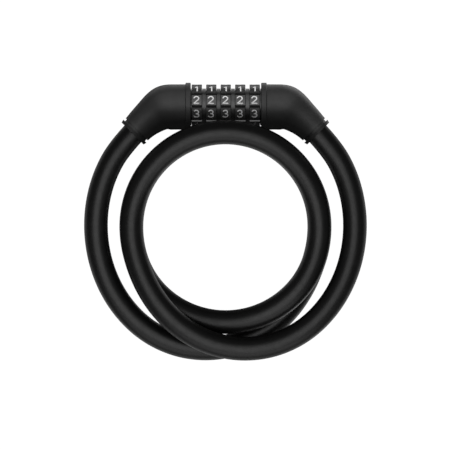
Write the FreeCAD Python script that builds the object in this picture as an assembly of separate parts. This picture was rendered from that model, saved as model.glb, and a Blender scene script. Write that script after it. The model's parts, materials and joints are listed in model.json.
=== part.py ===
import FreeCAD, Part
import math
import os
from FreeCAD import Vector

# Coiled combination cable lock, millimetres.
# The lock lies flat: +Z is up along the coil's axis, the floor is z = 0 and the origin
# is the coil's centre on the floor. The lock barrel lies along X at +Y of the coil.
# The half that pulls off, with the locking pin, is on the +X side.

os.makedirs("parts", exist_ok=True)

# Cable
CABLE_R = 6.0
JACKET_BORE_R = 2.6
CORE_R = 2.5
COIL_R = 47.45              # centreline radius of the coiled turns
EXIT_R = 66.2               # distance of each boot's mouth from the coil's centre
START_DEG = 45              # angle of the plug boot's mouth, clockwise from +Y
END_DEG = 1035              # angle of the lock boot's mouth, 2.75 turns later
STEP_DEG = 15
JOIN_DEGS = [180, 540, 900]     # where the cable's stretches meet
STRETCH_NAMES = ["plug_run", "upper_turn", "lower_turn", "lock_run"]
CABLE_IN_BOOT = 8.0         # how far the jacket reaches into each boot

# The route's distance from the coil's centre, with a cosine ease between stations.
# It is the same from either end, so it is stated up to the middle of the cable.
RADIUS_STATIONS = [(45, EXIT_R), (95, 65.25), (137, 65.85), (260, COIL_R),
                   (450, COIL_R), (490, 48.3), (540, 48.3)]

# The route's height above the floor. The front turn climbs over the lock barrel at 360.
LOCK_Z = 19.0
FRONT_Z = 32.0
HEIGHT_STATIONS = [(45, LOCK_Z), (255, LOCK_Z), (350, FRONT_Z), (370, FRONT_Z),
                   (465, LOCK_Z), (479, LOCK_Z), (602, CABLE_R), (925, CABLE_R),
                   (1027, LOCK_Z), (END_DEG, LOCK_Z)]

# Lock barrel and dials, placed about the barrel's own axis
LOCK_Y = 60.2
DIAL_COUNT = 5
DIAL_PITCH = 7.29
DIAL_WIDTH = 5.2
DIALS_CENTRE_X = 0.2        # the row stands a little towards the plug
DIALS_LEFT_X = DIALS_CENTRE_X - 2 * DIAL_PITCH - DIAL_WIDTH / 2
DIALS_RIGHT_X = DIALS_CENTRE_X + 2 * DIAL_PITCH + DIAL_WIDTH / 2
DIAL_R = 11.35
DIAL_CHAMFER = 0.2
DIGITS = 10
GROOVE_W = 0.8              # finger groove between two digits
GROOVE_BEVEL = 0.5
GROOVE_R = 9.7              # where the groove's walls end and its V-shaped bottom begins
WHEEL_R = 7.4
WHEEL_WIDTH = 4.3
GATE_W = 2.1
GATE_R = 6.6
CLICK_NOTCH_R = 0.45
SPACER_R = 9.3
SPACER_WIDTH = 1.89
HUB_R = 8.4                 # step on a spacer that sits in the dial's counterbore
HUB_STEP = 0.35
COUNTERBORE_R = 8.6
COUNTERBORE_DEPTH = 0.35
SLEEVE_R = 5.0
SLEEVE_BORE_R = 2.58
SLOT_W = 2.0
RUNNING_GAP = 0.06
SIDE_GAP = 0.1
OVERCUT = 1.0               # how far a cutting shape runs past the surface it opens

# Click spring, in a groove along the underside of the sleeve
SPRING_W = 1.4
SPRING_BOTTOM_Z = -4.6
SPRING_TOP_Z = -4.3
SPRING_END_GAP = 0.3
CREST_R = 1.0
CREST_CENTRE_Z = -3.85
SPRING_GROOVE_W = 1.6
SPRING_GROOVE_Z = -4.2

# Locking pin
PIN_R = 2.5
PIN_TIP_X = -19.6
PIN_NOSE = 0.8              # length and depth of the taper at the tip
FIN_LENGTH = 1.4
FIN_W = 1.8
FIN_R = 6.4

# Housings
LOCK_FACE_X = 17.45         # inner face of the fixed housing's end ring
LOCK_RING_X = 20.15         # where its boot begins
PLUG_FACE_X = 18.0          # the same on the plug's side
PLUG_RING_X = 20.85
END_RING_R = 12.25
END_RING_ROUND = 0.45
END_RING_LIP = 0.3          # thickness of the ring's lip over the end of the boot
PLUG_SEAT_X = 18.6          # bottom of the recess in the plug that takes the barrel's end
BARREL_END_X = 18.3
SPIGOT_R = 9.9
BOOT_R = 11.44
SOCKET_R = 8.3              # hollow in the boot that holds the adapter
SOCKET_END_X = 30.7
SHANK_END_X = 28.7          # how deep the sleeve or the pin goes into its adapter
ADAPTER_R = 8.2
ARM_R = 5.95
MOUTH_BORE_R = 6.08
COLLAR_WIDTH = 1.7
COLLAR_R = 7.85
COLLAR_BACK_R = 8.25
COLLAR_NECK_R = 7.1
NECK_LENGTH = 6.0
FERRULE_R = 3.9
FERRULE_LENGTH = 7.6
FERRULE_END = 1.0           # thickness of the ferrule's closed end
FERRULE_SEAT_END = 0.4      # room beyond the ferrule in its seat
CROSS_PIN_R = 1.0
CROSS_PIN_X = 24.0
CROSS_PIN_INSET = 0.7
SEAT_GAP = 0.05             # between a ferrule or a screw and its seat
SCREW_R = 1.5
SCREW_HEX_R = 0.85
SCREW_HEX_DEPTH = 0.8
SCREW_INSET = 0.5

# A boot as round sections, straight and then bent: centre x, centre y, radius, tilt
BOOT_SECTIONS = [(23.0, 0.0, BOOT_R, 0), (25.6, 0.0, BOOT_R, 0), (28.0, -0.04, BOOT_R, 3),
                 (30.2, -0.3, 11.35, 12), (32.8, -1.28, 10.85, 23),
                 (35.2, -2.95, 10.05, 34), (37.5, -4.88, 9.35, 41),
                 (39.06, -6.15, 8.95, 43.5), (40.77, -7.55, 8.57, 45),
                 (42.63, -9.23, 8.2, 45), (44.69, -11.27, 7.95, 45)]

X_AXIS = Vector(1, 0, 0)
Z_AXIS = Vector(0, 0, 1)
LOCK_CENTRE = Vector(0, LOCK_Y, LOCK_Z)

# The cable leaves a boot along the tangent of the coil, at 45 degrees to the barrel.
EXIT_DIR = Vector(math.cos(math.radians(START_DEG)), -math.sin(math.radians(START_DEG)), 0)
MOUTH = Vector(EXIT_R * math.sin(math.radians(START_DEG)),
               EXIT_R * math.cos(math.radians(START_DEG)) - LOCK_Y, 0)
ELBOW_INWARD = MOUTH.y / EXIT_DIR.y     # from the mouth back to the barrel's axis
ARM_START = ELBOW_INWARD + 5


# ---------------------------------------------------------------- plain shapes

def rod(radius, start, end):
    return Part.makeCylinder(radius, (end - start).Length, start, end - start)


def axial_rod(radius, x0, x1):
    return rod(radius, X_AXIS * x0, X_AXIS * x1)


def axial_ring(outer_r, inner_r, x0, x1):
    return axial_rod(outer_r, x0, x1).cut(axial_rod(inner_r, x0 - 1, x1 + 1))


def slot_box(x0, x1, width, z0, z1):
    return Part.makeBox(x1 - x0, width, z1 - z0, Vector(x0, -width / 2, z0))


def turned(profile):
    """Solid of revolution about the barrel axis, from (x, radius) corners."""
    corners = [Vector(x, radius, 0) for x, radius in profile]
    face = Part.Face(Part.makePolygon(corners + corners[:1]))
    return face.revolve(Vector(0, 0, 0), X_AXIS, 360)


def mouth_point(inward):
    """Point on the boot's mouth axis, a distance inside the mouth."""
    return MOUTH - EXIT_DIR * inward


def mirrored(shape):
    return shape.mirror(Vector(0, 0, 0), X_AXIS)


def save(name, shape, place=LOCK_CENTRE):
    placed = shape.copy()
    placed.translate(place)
    placed.exportStep(os.path.join("parts", name + ".step"))
    print(name, "solids", len(placed.Solids), "valid", placed.isValid(),
          "mm3 %.1f" % placed.Volume)


# ---------------------------------------------------------------- cable route

def eased(stations, theta):
    for (t0, v0), (t1, v1) in zip(stations, stations[1:]):
        if t0 <= theta <= t1:
            share = (1 - math.cos(math.pi * (theta - t0) / (t1 - t0))) / 2
            return v0 + (v1 - v0) * share


def turn_point(theta):
    """Route point at an angle, set out so that the runs' midpoints lie on the turn."""
    mirror_theta = min(theta, START_DEG + END_DEG - theta)
    radius = eased(RADIUS_STATIONS, mirror_theta) / math.cos(math.radians(STEP_DEG / 2))
    angle = math.radians(theta)
    return Vector(radius * math.sin(angle), radius * math.cos(angle),
                  eased(HEIGHT_STATIONS, theta))


def cable_route():
    start = LOCK_CENTRE + mouth_point(CABLE_IN_BOOT)
    steps = (END_DEG - START_DEG) // STEP_DEG
    turns = [turn_point(START_DEG + STEP_DEG * (k + 0.5)) for k in range(steps)]
    return [start] + turns + [Vector(-start.x, start.y, start.z)]


def rounded_edges(route):
    """Straight runs joined by tangent arcs. Each arc spends 0.45 of its shorter run."""
    edges = []
    radii = []
    at = route[0]
    for before, corner, after in zip(route, route[1:], route[2:]):
        back = before - corner
        ahead = after - corner
        reach = 0.45 * min(back.Length, ahead.Length)
        half_turn = (math.pi - back.getAngle(ahead)) / 2
        radius = reach / math.tan(half_turn)
        back.normalize()
        ahead.normalize()
        middle = back + ahead
        middle.normalize()
        arc_start = corner + back * reach
        arc_end = corner + ahead * reach
        arc_mid = corner + middle * (radius / math.cos(half_turn) - radius)
        edges.append(Part.LineSegment(at, arc_start).toShape())
        edges.append(Part.Arc(arc_start, arc_mid, arc_end).toShape())
        radii.append(radius)
        at = arc_end
    edges.append(Part.LineSegment(at, route[-1]).toShape())
    return edges, radii


def midpoint(a, b):
    return (a + b) * 0.5


def stretch(route, first, last):
    """Part of the route between the midpoints of two runs, or its ends."""
    points = route[first + 1:last + 1]
    head = route[0] if first == 0 else midpoint(route[first], route[first + 1])
    tail = route[-1] if last == len(route) - 2 else midpoint(route[last], route[last + 1])
    return [head] + points + [tail]


def stretch_edges(route, first, last):
    """Edges of a stretch, with the arcs that the whole route has."""
    edges, _ = rounded_edges(route)
    chosen = edges[2 * first:2 * last + 1]
    ends = stretch(route, first, last)
    head_line = chosen[0].Vertexes[-1].Point
    tail_line = chosen[-1].Vertexes[0].Point
    chosen[0] = Part.LineSegment(ends[0], head_line).toShape()
    chosen[-1] = Part.LineSegment(tail_line, ends[-1]).toShape()
    return chosen


def swept(edges, radius, bore_r=0.0):
    """Round solid or tube along a tangent-continuous path."""
    path = Part.Wire(edges)
    start = edges[0].Vertexes[0].Point
    direction = edges[0].Vertexes[-1].Point - start
    rim = Part.Wire(Part.makeCircle(radius, start, direction))
    wires = [rim]
    if bore_r:
        wires.append(Part.Wire(Part.makeCircle(bore_r, start, direction)))
    solid = path.makePipe(Part.makeFace(wires, "Part::FaceMakerBullseye"))
    section = math.pi * (radius ** 2 - bore_r ** 2)
    print("  path %.1f mm, volume %.1f, section x length %.1f"
          % (path.Length, solid.Volume, section * path.Length))
    return solid


def make_cable():
    route = cable_route()
    edges, radii = rounded_edges(route)
    print("cable length in mm %.1f" % sum(edge.Length for edge in edges))
    print("cable arc radii in mm", " ".join("%.0f" % radius for radius in radii))
    last_run = len(route) - 2
    joins = [0] + [(angle - START_DEG) // STEP_DEG for angle in JOIN_DEGS] + [last_run]
    for name, first, last in zip(STRETCH_NAMES, joins, joins[1:]):
        part_edges = stretch_edges(route, first, last)
        save("cable_jacket_" + name, swept(part_edges, CABLE_R, JACKET_BORE_R), Vector())
        save("cable_core_" + name, swept(part_edges, CORE_R), Vector())


# ---------------------------------------------------------------- dials

def finger_groove(x0, x1):
    """Groove across a dial at its top, with bevelled edges and a V-shaped bottom."""
    half = GROOVE_W / 2
    bevel_r = DIAL_R - GROOVE_BEVEL
    outside = OVERCUT + GROOVE_BEVEL
    side = [(half + outside, bevel_r + outside), (half, bevel_r), (half, GROOVE_R)]
    profile = side + [(0, GROOVE_R - half)] + [(-y, z) for y, z in reversed(side)]
    corners = [Vector(x0, y, z) for y, z in profile]
    return Part.Face(Part.makePolygon(corners + corners[:1])).extrude(X_AXIS * (x1 - x0))


def dial_ring(centre_x):
    x0 = centre_x - DIAL_WIDTH / 2
    x1 = centre_x + DIAL_WIDTH / 2
    body = turned([(x0, WHEEL_R), (x1, WHEEL_R), (x1, DIAL_R - DIAL_CHAMFER),
                   (x1 - DIAL_CHAMFER, DIAL_R), (x0 + DIAL_CHAMFER, DIAL_R),
                   (x0, DIAL_R - DIAL_CHAMFER)])
    tools = [axial_rod(COUNTERBORE_R, x0 - OVERCUT, x0 + COUNTERBORE_DEPTH),
             axial_rod(COUNTERBORE_R, x1 - COUNTERBORE_DEPTH, x1 + OVERCUT)]
    for k in range(DIGITS):
        groove = finger_groove(x0 - OVERCUT, x1 + OVERCUT)
        groove.rotate(Vector(0, 0, 0), X_AXIS, 360 / DIGITS * k)
        tools.append(groove)
    return body.cut(tools)


def code_wheel(centre_x):
    """Wheel inside a dial. Its gate lets one fin of the locking pin through."""
    x0 = centre_x - WHEEL_WIDTH / 2
    x1 = centre_x + WHEEL_WIDTH / 2
    wheel = axial_ring(WHEEL_R, SLEEVE_R + RUNNING_GAP, x0, x1)
    tools = [slot_box(x0 - OVERCUT, x1 + OVERCUT, GATE_W, 0, GATE_R)]
    for k in range(DIGITS):
        notch = rod(CLICK_NOTCH_R, Vector(x0 - OVERCUT, 0, -SLEEVE_R - RUNNING_GAP),
                    Vector(x1 + OVERCUT, 0, -SLEEVE_R - RUNNING_GAP))
        notch.rotate(Vector(0, 0, 0), X_AXIS, 360 / DIGITS * k)
        tools.append(notch)
    return wheel.cut(tools)


def dial_centres():
    return [DIALS_CENTRE_X + DIAL_PITCH * (k - (DIAL_COUNT - 1) / 2)
            for k in range(DIAL_COUNT)]


def spacer_centres():
    return [x + DIAL_PITCH / 2 for x in dial_centres()[:-1]]


def make_dials():
    for number, centre_x in enumerate(dial_centres(), 1):
        save("dial_%d" % number, dial_ring(centre_x))
        save("code_wheel_%d" % number, code_wheel(centre_x))


# ---------------------------------------------------------------- fixed half

def keyed_ring(x0, x1, hub_x0, hub_x1):
    """Ring on the sleeve, on a longer hub, with a keyway that the pin's fins pass through."""
    ring = axial_rod(SPACER_R, x0, x1).fuse(axial_rod(HUB_R, hub_x0, hub_x1))
    return ring.cut([axial_rod(SLEEVE_R, hub_x0 - OVERCUT, hub_x1 + OVERCUT),
                     slot_box(hub_x0 - OVERCUT, hub_x1 + OVERCUT, GATE_W, 0, GATE_R)])


def inner_sleeve():
    """Slotted tube that the dials turn on, with the bore for the locking pin."""
    tube = axial_ring(SLEEVE_R, SLEEVE_BORE_R, -SHANK_END_X, BARREL_END_X)
    fin_slot = slot_box(PIN_TIP_X, BARREL_END_X + OVERCUT, SLOT_W, 0, SLEEVE_R + OVERCUT)
    spring_groove = slot_box(DIALS_LEFT_X, DIALS_RIGHT_X, SPRING_GROOVE_W,
                             -SLEEVE_R - OVERCUT, SPRING_GROOVE_Z)
    return tube.cut([fin_slot, spring_groove, cross_pin_rod(-CROSS_PIN_X)])


def click_spring():
    """Flat spring under the dials, with a crest for each code wheel."""
    strip = slot_box(DIALS_LEFT_X + SPRING_END_GAP, DIALS_RIGHT_X - SPRING_END_GAP,
                     SPRING_W, SPRING_BOTTOM_Z, SPRING_TOP_Z)
    crests = []
    for centre_x in dial_centres():
        crest = rod(CREST_R, Vector(centre_x, -SPRING_W / 2, CREST_CENTRE_Z),
                    Vector(centre_x, SPRING_W / 2, CREST_CENTRE_Z))
        below = slot_box(centre_x - CREST_R, centre_x + CREST_R, SPRING_W,
                         CREST_CENTRE_Z - CREST_R - OVERCUT, SPRING_TOP_Z)
        crests.append(crest.common(below))
    return strip.fuse(crests).removeSplitter()


def make_fixed_half():
    left_x = DIALS_LEFT_X - SIDE_GAP
    right_x = DIALS_RIGHT_X + SIDE_GAP
    save("inner_sleeve", inner_sleeve())
    save("click_spring", click_spring())
    save("dial_retainer_left",
         keyed_ring(-LOCK_FACE_X, left_x, -LOCK_FACE_X, left_x + HUB_STEP))
    save("dial_retainer_right",
         keyed_ring(right_x, BARREL_END_X, right_x - HUB_STEP, BARREL_END_X))
    for number, centre_x in enumerate(spacer_centres(), 1):
        x0 = centre_x - SPACER_WIDTH / 2
        x1 = centre_x + SPACER_WIDTH / 2
        save("dial_spacer_%d" % number, keyed_ring(x0, x1, x0 - HUB_STEP, x1 + HUB_STEP))


# ---------------------------------------------------------------- locking pin

def locking_pin():
    nose_x = PIN_TIP_X + PIN_NOSE
    pin = axial_rod(PIN_R, nose_x, SHANK_END_X)
    nose = turned([(PIN_TIP_X, 0), (nose_x, 0), (nose_x, PIN_R),
                   (PIN_TIP_X, PIN_R - PIN_NOSE)])
    fins = []
    for centre_x in [dial_centres()[0] - DIAL_PITCH / 2] + spacer_centres():
        fins.append(slot_box(centre_x - FIN_LENGTH / 2, centre_x + FIN_LENGTH / 2,
                             FIN_W, 0, FIN_R))
    return pin.fuse([nose] + fins).removeSplitter().cut(cross_pin_rod(CROSS_PIN_X))


# ---------------------------------------------------------------- housings

def cross_pin_rod(x):
    half = ADAPTER_R - CROSS_PIN_INSET
    return rod(CROSS_PIN_R, Vector(x, 0, -half), Vector(x, 0, half))


def boot(seat_x, ring_x):
    """Bent moulded housing on the +X side, from its end ring to the cable's mouth."""
    rims = []
    for x, y, radius, tilt in [(ring_x, 0, BOOT_R, 0)] + BOOT_SECTIONS:
        angle = math.radians(tilt)
        normal = Vector(math.cos(angle), -math.sin(angle), 0)
        rims.append(Part.Wire(Part.makeCircle(radius, Vector(x, y, 0), normal)))
    outside = Part.makeLoft(rims, True, False)
    spigot = axial_rod(SPIGOT_R, seat_x + END_RING_LIP, ring_x)
    neck_seat = rod(COLLAR_NECK_R, mouth_point(NECK_LENGTH), mouth_point(0))
    mouth_bore = rod(MOUTH_BORE_R, mouth_point(ARM_START + SIDE_GAP), mouth_point(0))
    socket = axial_rod(SOCKET_R, seat_x, SOCKET_END_X)
    return outside.fuse(spigot).cut([socket, mouth_bore, neck_seat])


def end_ring(face_x, seat_x, ring_x):
    """Raised ring that closes the housing beside the dials."""
    ring = axial_ring(END_RING_R, SPIGOT_R, face_x, ring_x)
    rims = [edge for edge in ring.Edges
            if abs(edge.BoundBox.ZMax - END_RING_R) < 0.01 and edge.Closed]
    ring = ring.makeFillet(END_RING_ROUND, rims)
    lip = axial_ring(SPIGOT_R, SOCKET_R, seat_x, seat_x + END_RING_LIP)
    return ring.fuse(lip).removeSplitter()


def cable_collar():
    """Collar round the cable at the boot's mouth, on a neck inside the boot."""
    collar = Part.makeCone(COLLAR_BACK_R, COLLAR_R, COLLAR_WIDTH, mouth_point(COLLAR_WIDTH),
                           EXIT_DIR)
    neck = rod(COLLAR_NECK_R, mouth_point(NECK_LENGTH), mouth_point(COLLAR_WIDTH))
    bore = rod(MOUTH_BORE_R, mouth_point(NECK_LENGTH + OVERCUT), mouth_point(-OVERCUT))
    return collar.fuse(neck).cut(bore)


def adapter(seat_x, pocket_r):
    """Metal elbow in the boot: takes the barrel's tube or pin, and the cable's ferrule."""
    arm_end = CABLE_IN_BOOT + SEAT_GAP
    base = axial_rod(ADAPTER_R, seat_x, SOCKET_END_X - SIDE_GAP)
    arm = rod(ARM_R, mouth_point(ARM_START), mouth_point(arm_end))
    seat_bottom = arm_end + FERRULE_LENGTH + FERRULE_SEAT_END
    ferrule_seat = rod(FERRULE_R + SEAT_GAP, mouth_point(seat_bottom),
                       mouth_point(arm_end - OVERCUT))
    shank_seat = axial_rod(pocket_r, seat_x - OVERCUT, SHANK_END_X + SIDE_GAP)
    return base.fuse(arm).cut([ferrule_seat, shank_seat, cross_pin_rod(CROSS_PIN_X),
                               set_screw_hole()])


def screw_centre():
    return mouth_point(CABLE_IN_BOOT + 0.55 * FERRULE_LENGTH)


def set_screw_hole():
    centre = screw_centre()
    return rod(SCREW_R, centre, centre + Z_AXIS * (ARM_R + OVERCUT))


def set_screw():
    centre = screw_centre()
    top = ARM_R - SCREW_INSET
    screw = rod(SCREW_R, centre + Z_AXIS * (FERRULE_R + SEAT_GAP), centre + Z_AXIS * top)
    corners = [centre + Vector(SCREW_HEX_R * math.cos(math.radians(60 * k)),
                               SCREW_HEX_R * math.sin(math.radians(60 * k)),
                               top - SCREW_HEX_DEPTH) for k in range(7)]
    hexagon = Part.Face(Part.makePolygon(corners)).extrude(Z_AXIS * (SCREW_HEX_DEPTH + OVERCUT))
    return screw.cut(hexagon)


def ferrule():
    """Steel sleeve crimped on the end of the wire rope."""
    start = CABLE_IN_BOOT + SIDE_GAP
    outside = rod(FERRULE_R, mouth_point(start + FERRULE_LENGTH), mouth_point(start))
    return outside.cut(rod(CORE_R, mouth_point(start + FERRULE_LENGTH - FERRULE_END),
                           mouth_point(start - OVERCUT)))


def rope_end():
    """Bare wire rope between the jacket's end and the bottom of the ferrule."""
    return rod(CORE_R, mouth_point(CABLE_IN_BOOT + FERRULE_LENGTH - FERRULE_END),
               mouth_point(CABLE_IN_BOOT + SEAT_GAP))


def fin_recess(face_x):
    """Room in the fixed adapter for the fin at the locking pin's tip."""
    return slot_box(face_x - OVERCUT, -PIN_TIP_X, GATE_W, 0, GATE_R)


def make_housing(side, face_x, seat_x, ring_x, elbow, flip):
    pieces = {"boot": boot(seat_x, ring_x), "end_ring": end_ring(face_x, seat_x, ring_x),
              "cable_collar": cable_collar(), "adapter": elbow,
              "cross_pin": cross_pin_rod(CROSS_PIN_X), "set_screw": set_screw(),
              "ferrule": ferrule(), "rope_end": rope_end()}
    for name, shape in pieces.items():
        save(side + "_" + name, flip(shape))


def unchanged(shape):
    return shape


make_cable()
make_dials()
make_fixed_half()
save("locking_pin", locking_pin())
make_housing("lock", LOCK_FACE_X, LOCK_FACE_X, LOCK_RING_X,
             adapter(LOCK_FACE_X, SLEEVE_R).cut(fin_recess(LOCK_FACE_X)), mirrored)
make_housing("plug", PLUG_FACE_X, PLUG_SEAT_X, PLUG_RING_X, adapter(PLUG_SEAT_X, PIN_R),
             unchanged)
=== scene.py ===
import json
import math

import bmesh
import bpy
from mathutils import Matrix, Vector


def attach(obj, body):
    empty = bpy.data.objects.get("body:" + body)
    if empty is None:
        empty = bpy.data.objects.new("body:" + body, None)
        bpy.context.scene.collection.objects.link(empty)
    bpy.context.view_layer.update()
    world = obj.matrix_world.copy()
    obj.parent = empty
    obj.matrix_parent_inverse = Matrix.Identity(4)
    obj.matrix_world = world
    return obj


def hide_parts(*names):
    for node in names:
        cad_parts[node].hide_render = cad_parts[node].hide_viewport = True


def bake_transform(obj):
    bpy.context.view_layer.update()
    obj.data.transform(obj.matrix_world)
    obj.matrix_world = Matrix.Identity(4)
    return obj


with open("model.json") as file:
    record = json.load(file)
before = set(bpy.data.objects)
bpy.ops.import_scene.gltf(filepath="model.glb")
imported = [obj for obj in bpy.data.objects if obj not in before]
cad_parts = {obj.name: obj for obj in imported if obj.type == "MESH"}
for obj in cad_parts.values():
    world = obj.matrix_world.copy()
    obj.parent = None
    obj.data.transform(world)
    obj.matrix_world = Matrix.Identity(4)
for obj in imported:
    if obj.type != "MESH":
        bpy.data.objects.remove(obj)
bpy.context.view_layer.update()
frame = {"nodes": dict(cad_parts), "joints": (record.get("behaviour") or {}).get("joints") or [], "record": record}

MM = 0.001
NODES = frame["nodes"]
JOINTS = {joint["name"]: joint for joint in frame["joints"]}
DIALS = range(1, 6)
LOCK_CENTRE = Vector(JOINTS["dial_3_turn"]["pos_m"])

# ---------------------------------------------------------------- camera

PICTURE_WIDTH = 226.9 * MM      # what the picture spans at the height of the barrel
CAMERA_DISTANCE = 6.0
CAMERA_OFFSET = (-0.2 * MM, 0.7 * MM)   # the camera's place over the coil's centre
SENSOR_MM = 36.0


def make_camera():
    data = bpy.data.cameras.new("camera")
    data.sensor_width = SENSOR_MM
    data.lens = SENSOR_MM * CAMERA_DISTANCE / PICTURE_WIDTH
    data.clip_start, data.clip_end = 0.1, 20
    camera = bpy.data.objects.new("camera", data)
    camera.location = (*CAMERA_OFFSET, LOCK_CENTRE.z + CAMERA_DISTANCE)
    bpy.context.scene.collection.objects.link(camera)
    bpy.context.scene.camera = camera


make_camera()

# ---------------------------------------------------------------- materials

RAMP_ENDS = (0.3, 0.7)          # where a noise reaches the low and the high value
SCRATCH_HEIGHT = 0.004 * MM
# Noise scales, in features per metre
MOTTLE, METAL_MOTTLE, GLOSS, MARKS, FLOOR_MOTTLE = 180, 250, 420, 900, 3


class Nodes:
    """Short names for building one node tree."""

    def __init__(self, name):
        self.material = bpy.data.materials.new(name)
        self.material.use_nodes = True
        self.tree = self.material.node_tree
        self.shader = self.tree.nodes["Principled BSDF"]
        self.coords = self.tree.nodes.new("ShaderNodeTexCoord").outputs["Object"]

    def link(self, source, target):
        self.tree.links.new(source, target)

    def noise(self, scale, detail=3.0, stretch=None):
        """Noise with features about 1/scale metres across."""
        node = self.tree.nodes.new("ShaderNodeTexNoise")
        node.inputs["Scale"].default_value = scale
        node.inputs["Detail"].default_value = detail
        source = self.coords
        if stretch:
            mapping = self.tree.nodes.new("ShaderNodeMapping")
            mapping.inputs["Scale"].default_value = stretch
            self.link(source, mapping.inputs["Vector"])
            source = mapping.outputs["Vector"]
        self.link(source, node.inputs["Vector"])
        return node.outputs["Fac"]

    def ramp(self, source, low, high):
        """Each of low and high is a grey or a colour."""
        node = self.tree.nodes.new("ShaderNodeValToRGB")
        for element, place, value in zip(node.color_ramp.elements, RAMP_ENDS, (low, high)):
            element.position = place
            element.color = (*value, 1) if isinstance(value, tuple) else (value, value, value, 1)
        self.link(source, node.inputs["Fac"])
        return node.outputs["Color"]

    def bump(self, source, height):
        node = self.tree.nodes.new("ShaderNodeBump")
        node.inputs["Distance"].default_value = height
        node.inputs["Strength"].default_value = 1.0
        self.link(source, node.inputs["Height"])
        self.link(node.outputs["Normal"], self.shader.inputs["Normal"])


def plastic(name, dark, light, rough, grain, grain_height, specular=0.5):
    """Moulded plastic: slight mottling, uneven gloss and a fine moulded grain."""
    n = Nodes(name)
    n.link(n.ramp(n.noise(MOTTLE), dark, light), n.shader.inputs["Base Color"])
    n.link(n.ramp(n.noise(GLOSS, 4), *rough), n.shader.inputs["Roughness"])
    n.shader.inputs["Specular IOR Level"].default_value = specular
    n.bump(n.noise(grain, 2), grain_height)
    return n.material


def metal(name, dark, light, rough, stretch):
    """Machined or cast metal with fine marks drawn out along one direction."""
    n = Nodes(name)
    n.shader.inputs["Metallic"].default_value = 1.0
    marks = n.noise(MARKS, 4, stretch)
    n.link(n.ramp(n.noise(METAL_MOTTLE), dark, light), n.shader.inputs["Base Color"])
    n.link(n.ramp(marks, *rough), n.shader.inputs["Roughness"])
    n.bump(marks, SCRATCH_HEIGHT)
    return n.material


MATERIALS = {
    "cable_pvc": plastic("cable_pvc", 0.004, 0.006, (0.35, 0.43), 2200, 0.006 * MM),
    "boot_plastic": plastic("boot_plastic", 0.012, 0.016, (0.44, 0.52), 2600, 0.012 * MM),
    "trim_plastic": plastic("trim_plastic", 0.012, 0.016, (0.44, 0.52), 2600, 0.012 * MM),
    "dial_plastic": plastic("dial_plastic", 0.014, 0.02, (0.27, 0.35), 2600, 0.005 * MM, 0.8),
    "spacer_plastic": plastic("spacer_plastic", 0.014, 0.02, (0.26, 0.34), 2600, 0.006 * MM, 0.8),
    "digit_paint": plastic("digit_paint", 0.80, 0.88, (0.42, 0.52), 3000, 0.01 * MM),
    "zinc": metal("zinc", (0.42, 0.43, 0.45), (0.52, 0.53, 0.55), (0.38, 0.5), (1, 1, 1)),
    "steel": metal("steel", (0.58, 0.58, 0.6), (0.68, 0.68, 0.7), (0.18, 0.3), (0.2, 3, 3)),
    "steel_rope": metal("steel_rope", (0.4, 0.4, 0.4), (0.5, 0.5, 0.5), (0.3, 0.4), (3, 3, 3)),
    "brass": metal("brass", (0.68, 0.48, 0.2), (0.78, 0.58, 0.28), (0.22, 0.34), (0.2, 3, 3)),
}


def give(piece, material_name):
    piece.data.materials.clear()
    piece.data.materials.append(MATERIALS[material_name])


def paint_frame():
    for subpart in frame["record"]["subparts"]:
        give(NODES[subpart["node"]], subpart["material_slot"])


paint_frame()

# ---------------------------------------------------------------- small mesh tools


def new_piece(name, mesh, material_name, body=None):
    piece = bpy.data.objects.new(name, mesh)
    bpy.context.scene.collection.objects.link(piece)
    give(piece, material_name)
    if body:
        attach(piece, body)
    return piece


def tube_mesh(name, rings):
    """Closed mesh over rings of points, all with the same number of points."""
    mesh = bmesh.new()
    rows = [[mesh.verts.new(point) for point in ring] for ring in rings]
    count = len(rows[0])
    for row, following in zip(rows, rows[1:]):
        for k in range(count):
            after = (k + 1) % count
            mesh.faces.new((row[k], row[after], following[after], following[k]))
    mesh.faces.new(list(reversed(rows[0])))
    mesh.faces.new(rows[-1])
    bmesh.ops.recalc_face_normals(mesh, faces=mesh.faces)
    for face in mesh.faces:
        face.smooth = len(face.verts) == 4
    data = bpy.data.meshes.new(name)
    mesh.to_mesh(data)
    mesh.free()
    return data


def ring_points(centre, side, up, radius, count):
    points = []
    for k in range(count):
        angle = 2 * math.pi * k / count
        points.append(centre + (side * math.cos(angle) + up * math.sin(angle)) * radius)
    return points


# ---------------------------------------------------------------- cable

CABLE_R = 6.0 * MM
COIL_R = 47.45 * MM
EXIT_R = 66.2 * MM
FRONT_Z = 32.0 * MM
START_DEG, END_DEG, STEP_DEG = 45, 1035, 15
CABLE_IN_BOOT = 8.0 * MM
CABLE_SIDES = 64

# The same stations as the CAD cable has: distance from the coil's centre, and height.
RADIUS_STATIONS = [(45, EXIT_R), (95, 65.25 * MM), (137, 65.85 * MM), (260, COIL_R),
                   (450, COIL_R), (490, 48.3 * MM), (540, 48.3 * MM)]
HEIGHT_STATIONS = [(45, LOCK_CENTRE.z), (255, LOCK_CENTRE.z), (350, FRONT_Z), (370, FRONT_Z),
                   (465, LOCK_CENTRE.z), (479, LOCK_CENTRE.z), (602, CABLE_R), (925, CABLE_R),
                   (1027, LOCK_CENTRE.z), (END_DEG, LOCK_CENTRE.z)]

EXIT_DIR = Vector((math.cos(math.radians(START_DEG)), -math.sin(math.radians(START_DEG)), 0))
MOUTH = Vector((EXIT_R * math.sin(math.radians(START_DEG)),
                EXIT_R * math.cos(math.radians(START_DEG)), LOCK_CENTRE.z))


def eased(stations, theta):
    """The value at an angle: it goes from station to station and is level at each."""
    for (t0, v0), (t1, v1) in zip(stations, stations[1:]):
        if t0 <= theta <= t1:
            share = (1 - math.cos(math.pi * (theta - t0) / (t1 - t0))) / 2
            return v0 + (v1 - v0) * share


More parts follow.
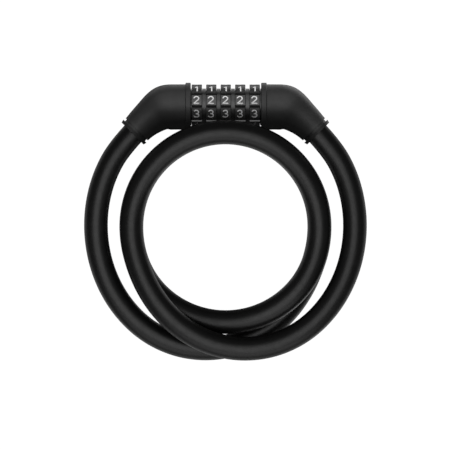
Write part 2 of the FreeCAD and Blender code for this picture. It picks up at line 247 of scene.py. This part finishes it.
def turn_point(theta):
    """Control point of the spline at an angle from +Y. It stands a little outside the cable's
    middle line, which touches the sides between the control points. The route is alike in
    plan from both ends."""
    mirror_theta = min(theta, START_DEG + END_DEG - theta)
    radius = eased(RADIUS_STATIONS, mirror_theta) / math.cos(math.radians(STEP_DEG / 2))
    angle = math.radians(theta)
    return Vector((radius * math.sin(angle), radius * math.cos(angle),
                   eased(HEIGHT_STATIONS, theta)))


# Where the plug's run of cable ends, at the bottom of the coil.
BOTTOM = Vector((0, -eased(RADIUS_STATIONS, 180), LOCK_CENTRE.z))


def cable_route():
    """Control points from inside the plug's boot to inside the fixed boot."""
    start = MOUTH - EXIT_DIR * CABLE_IN_BOOT
    steps = (END_DEG - START_DEG) // STEP_DEG
    turns = [turn_point(START_DEG + STEP_DEG * (k + 0.5)) for k in range(steps)]
    return [start] + turns + [Vector((-start.x, start.y, start.z))]


def smooth_line(route, name):
    """Points along the NURBS spline whose control points are the route."""
    curve = bpy.data.curves.new(name, "CURVE")
    curve.dimensions = "3D"
    spline = curve.splines.new("NURBS")
    spline.points.add(len(route) - 1)
    for point, place in zip(spline.points, route):
        point.co = (*place, 1)
    spline.order_u = 3
    spline.use_endpoint_u = True
    spline.resolution_u = 8
    holder = bpy.data.objects.new(name, curve)
    bpy.context.scene.collection.objects.link(holder)
    bpy.context.view_layer.update()
    line = bpy.data.meshes.new_from_object(holder)
    points = [vertex.co.copy() for vertex in line.vertices]
    bpy.data.objects.remove(holder)
    return points


def cable_rings(line):
    """Rings square to the line, turned as little as possible from one to the next."""
    rings = []
    side = Vector((0, 0, 1))
    for k, point in enumerate(line):
        ahead = line[min(k + 1, len(line) - 1)] - line[max(k - 1, 0)]
        ahead.normalize()
        side = (side - ahead * side.dot(ahead)).normalized()
        rings.append(ring_points(point, side, ahead.cross(side), CABLE_R, CABLE_SIDES))
    return rings


def distances_along(line):
    total = [0.0]
    for a, b in zip(line, line[1:]):
        total.append(total[-1] + (b - a).length)
    return total


def make_cable():
    line = smooth_line(cable_route(), "cable_line")
    data = tube_mesh("cable", cable_rings(line))
    cable = new_piece("cable", data, "cable_pvc")
    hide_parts(*[node for node in NODES if node.startswith("cable_")])
    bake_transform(cable)
    spread_bend(line)


def spread_bend(line):
    """Weights over the cable's first part, one for each ring point: one up to the boot's mouth, falling smoothly
    to none at the bottom of the coil. They are not kept."""
    along = distances_along(line)
    first = CABLE_IN_BOOT
    last = along[min(range(len(line)), key=lambda k: (line[k] - BOTTOM).length)]
    weights = []
    for at in along:
        share = min(max((at - first) / (last - first), 0.0), 1.0)
        weight = 1 - share * share * (3 - 2 * share)
        weights += [weight] * CABLE_SIDES


make_cable()

# ---------------------------------------------------------------- digits

STROKE = 0.6 * MM
DIGIT_W = 2.5 * MM          # between the middles of the outermost strokes
DIGIT_H = 3.6 * MM
DIGIT_SHIFT = -0.25 * MM    # from the middle of the dial
PRINT_HEIGHT = 0.03 * MM
PRINT_STEP = 0.4 * MM       # longest straight piece of a stroke, so that it follows the dial
CAP_STEPS = 6
DIAL_R = 11.35 * MM
FIRST_DIGIT_DEG = 90        # where digit 0 stands, from the top towards +Y
DIGIT_STEP_DEG = 36


def arc(cx, cy, rx, ry, start, end, steps=20):
    """Points on an ellipse, in halves of the digit's width and height."""
    angles = [math.radians(start + (end - start) * k / steps) for k in range(steps + 1)]
    return [(cx + rx * math.cos(a), cy + ry * math.sin(a)) for a in angles]


# Strokes of each digit. x and y run from -1 to 1 over its width and height.
DIGIT_STROKES = {
    "0": [arc(0, 0, 1, 1, 0, 360, 40)],
    "1": [[(0.35, -1), (0.35, 1)], [(0.35, 1), (-0.35, 0.55)]],
    "2": [arc(0, 0.42, 0.95, 0.58, 165, -35) + [(-0.95, -1)], [(-0.95, -1), (1, -1)]],
    "3": [arc(0, 0.5, 0.88, 0.5, 150, -90), arc(0, -0.48, 1, 0.52, 90, -150)],
    "4": [[(0.4, -1), (0.4, 1)], [(0.4, 1), (-1, -0.4)], [(-1, -0.4), (1, -0.4)]],
    "5": [[(0.85, 1), (-0.75, 1)], [(-0.75, 1), (-0.9, 0.1)],
          arc(-0.05, -0.32, 1, 0.68, 145, -145)],
    "6": [arc(0, -0.35, 1, 0.65, 0, 360, 32), arc(0.75, -0.35, 1.75, 1.35, 95, 180)],
    "7": [[(-1, 1), (1, 1)], [(1, 1), (-0.35, -1)]],
    "8": [arc(0, 0.53, 0.85, 0.47, 0, 360, 32), arc(0, -0.47, 1, 0.53, 0, 360, 32)],
    "9": [arc(0, 0.35, 1, 0.65, 0, 360, 32), arc(-0.75, 0.35, 1.75, 1.35, -85, 0)],
}


def stroke_path(points):
    """The line of points at full size, in pieces no longer than the print step."""
    corners = [Vector((x * DIGIT_W / 2, y * DIGIT_H / 2)) for x, y in points]
    path = corners[:1]
    for start, end in zip(corners, corners[1:]):
        pieces = math.ceil((end - start).length / PRINT_STEP)
        path += [start.lerp(end, (k + 1) / pieces) for k in range(pieces)]
    return path


def stroke_outline(points):
    """The two sides of a stroke along a line of points."""
    path = stroke_path(points)
    left, right = [], []
    for k, point in enumerate(path):
        ahead = (path[min(k + 1, len(path) - 1)] - path[max(k - 1, 0)]).normalized()
        across = Vector((-ahead.y, ahead.x)) * STROKE / 2
        left.append(point + across)
        right.append(point - across)
    return left, right


def cap(mesh, middle, first, height):
    """Half a disc that closes a stroke beyond one end. It starts at the point first."""
    arm = first - middle
    rim = []
    for k in range(CAP_STEPS + 1):
        turn = Matrix.Rotation(math.pi * k / CAP_STEPS, 2)
        rim.append(mesh.verts.new((*(middle + turn @ arm), height)))
    mesh.faces.new(rim)


def add_stroke(mesh, points, height):
    """Flat band along a line of points, with round ends unless it closes on itself."""
    left, right = stroke_outline(points)
    closed = (left[0] - left[-1]).length < STROKE / 5
    if closed:
        left[-1], right[-1] = left[0], right[0]
    rows = [(mesh.verts.new((*a, height)), mesh.verts.new((*b, height)))
            for a, b in zip(left, right)]
    for (a, b), (c, d) in zip(rows, rows[1:]):
        mesh.faces.new((a, b, d, c))
    if not closed:
        cap(mesh, (left[0] + right[0]) / 2, left[0], height)
        cap(mesh, (left[-1] + right[-1]) / 2, right[-1], height)


def digit_mesh(text):
    """Raised print of one digit, flat on z = 0 and reading up +Y."""
    mesh = bmesh.new()
    for points in DIGIT_STROKES[text]:
        add_stroke(mesh, points, PRINT_HEIGHT)
    bmesh.ops.remove_doubles(mesh, verts=mesh.verts, dist=STROKE / 100)
    bmesh.ops.recalc_face_normals(mesh, faces=mesh.faces)
    top = list(mesh.faces)
    for face in top:
        if face.normal.z < 0:
            face.normal_flip()
    skirt = bmesh.ops.extrude_face_region(mesh, geom=top, use_keep_orig=True)
    lowered = [item for item in skirt["geom"] if isinstance(item, bmesh.types.BMVert)]
    for vertex in lowered:
        vertex.co.z = -PRINT_HEIGHT
    bmesh.ops.recalc_face_normals(mesh, faces=mesh.faces)
    data = bpy.data.meshes.new("digit")
    mesh.to_mesh(data)
    mesh.free()
    return data


def wrap(data, centre, angle):
    """Bend a flat print onto a dial, at an angle from the top towards +Y."""
    for vertex in data.vertices:
        turn = angle + vertex.co.y / DIAL_R
        reach = DIAL_R + vertex.co.z
        across = vertex.co.x + DIGIT_SHIFT
        vertex.co = centre + Vector((across, reach * math.sin(turn), reach * math.cos(turn)))


def make_digits(dial):
    """Light digits 0 to 9 round one dial."""
    centre = Vector(JOINTS["dial_%d_turn" % dial]["pos_m"])
    mesh = bmesh.new()
    for digit in range(10):
        data = digit_mesh(str(digit))
        wrap(data, centre, math.radians(FIRST_DIGIT_DEG - DIGIT_STEP_DEG * digit))
        mesh.from_mesh(data)
        bpy.data.meshes.remove(data)
    joined = bpy.data.meshes.new("digits_%d" % dial)
    mesh.to_mesh(joined)
    mesh.free()
    new_piece("digits_%d" % dial, joined, "digit_paint", "dial_%d" % dial)


for dial_number in DIALS:
    make_digits(dial_number)

# ---------------------------------------------------------------- floor and light

FLOOR_SIZE = 12.0
LIGHT_DISTANCE = 1.5
WORLD_STRENGTH = 0.07


def make_floor():
    """A white floor, bright enough to show no shadow. The object's own gloss and shade
    come from the lights and the world, so the floor isn't seen by reflected rays."""
    mesh = bpy.data.meshes.new("floor")
    half = FLOOR_SIZE / 2
    corners = [(-half, -half, 0), (half, -half, 0), (half, half, 0), (-half, half, 0)]
    mesh.from_pydata(corners, [], [(0, 1, 2, 3)])
    floor = bpy.data.objects.new("floor", mesh)
    bpy.context.scene.collection.objects.link(floor)
    n = Nodes("floor")
    n.link(n.ramp(n.noise(FLOOR_MOTTLE), 0.86, 0.9), n.shader.inputs["Base Color"])
    n.shader.inputs["Roughness"].default_value = 0.9
    n.shader.inputs["Emission Color"].default_value = (1, 1, 1, 1)
    n.shader.inputs["Emission Strength"].default_value = 1.0
    mesh.materials.append(n.material)
    floor.visible_diffuse = floor.visible_glossy = floor.visible_shadow = False


def lit_group(name, pieces):
    group = bpy.data.collections.new(name)
    for piece in pieces:
        group.objects.link(piece)
    return group


def make_softbox(name, azimuth, elevation, size, radiance, group):
    """Softbox in a direction from the object, which lights one group of pieces.
    Azimuth 0 is towards -Y and 90 towards +X."""
    turn, rise = math.radians(azimuth), math.radians(elevation)
    direction = Vector((math.sin(turn) * math.cos(rise), -math.cos(turn) * math.cos(rise),
                        math.sin(rise)))
    data = bpy.data.lights.new(name, "AREA")
    data.shape = "RECTANGLE"
    data.size, data.size_y = size
    data.energy = radiance * math.pi * size[0] * size[1]
    lamp = bpy.data.objects.new(name, data)
    lamp.location = direction * LIGHT_DISTANCE
    lamp.rotation_euler = direction.to_track_quat("Z", "Y").to_euler()
    lamp.visible_camera = False
    lamp.light_linking.receiver_collection = group
    bpy.context.scene.collection.objects.link(lamp)


# Name, azimuth, elevation, width and height of the softbox in metres, and radiance
CABLE_LIGHTS = [("cable_top", -12, 70, (1.35, 1.1), 1.4),
                ("cable_front", 0, 26, (2.2, 1.0), 0.8),
                ("cable_back", 180, 80, (1.3, 0.6), 0.95),
                ("cable_bounce", 0, -45, (2.4, 1.7), 0.4),
                ("cable_bounce_right", 90, -45, (2.4, 1.7), 0.5),
                ("cable_bounce_left", 270, -45, (2.4, 1.7), 0.4)]
LOCK_LIGHTS = [("lock_top", 180, 74, (2.0, 1.2), 1.5),
               ("lock_back", 180, 30, (3.0, 1.2), 0.9),
               ("lock_bounce", 180, -38, (2.4, 1.2), 0.65),
               ("lock_side", 135, -45, (1.4, 1.4), 1.0)]
PRINT_LIGHTS = [("print_back", 180, 28, (2.0, 1.2), 3.1)]


def make_lights():
    """The cable, the numbers and the rest of the lock each have lights of their own."""
    pieces = [p for p in bpy.data.objects if p.type == "MESH" and p.name != "floor"]
    cables = [p for p in pieces if p.name == "cable"]
    prints = [p for p in pieces if p.name.startswith("digits_")]
    lock = [p for p in pieces if p not in cables + prints]
    for name, lit, lights in (("lit_cable", cables, CABLE_LIGHTS),
                              ("lit_lock", lock, LOCK_LIGHTS),
                              ("lit_prints", prints, PRINT_LIGHTS)):
        group = lit_group(name, lit)
        for light in lights:
            make_softbox(*light, group)


def make_world():
    """White behind the floor, while only a little light falls on the object from it."""
    world = bpy.data.worlds.new("world")
    bpy.context.scene.world = world
    world.use_nodes = True
    tree = world.node_tree
    background = tree.nodes["Background"]
    background.inputs["Color"].default_value = (1, 1, 1, 1)
    path = tree.nodes.new("ShaderNodeLightPath")
    strength = tree.nodes.new("ShaderNodeMath")
    strength.operation = "MULTIPLY_ADD"
    strength.inputs[1].default_value = 1 - WORLD_STRENGTH
    strength.inputs[2].default_value = WORLD_STRENGTH
    tree.links.new(path.outputs["Is Camera Ray"], strength.inputs[0])
    tree.links.new(strength.outputs[0], background.inputs["Strength"])


make_floor()
make_lights()
make_world()
bpy.context.scene.view_settings.view_transform = "Standard"
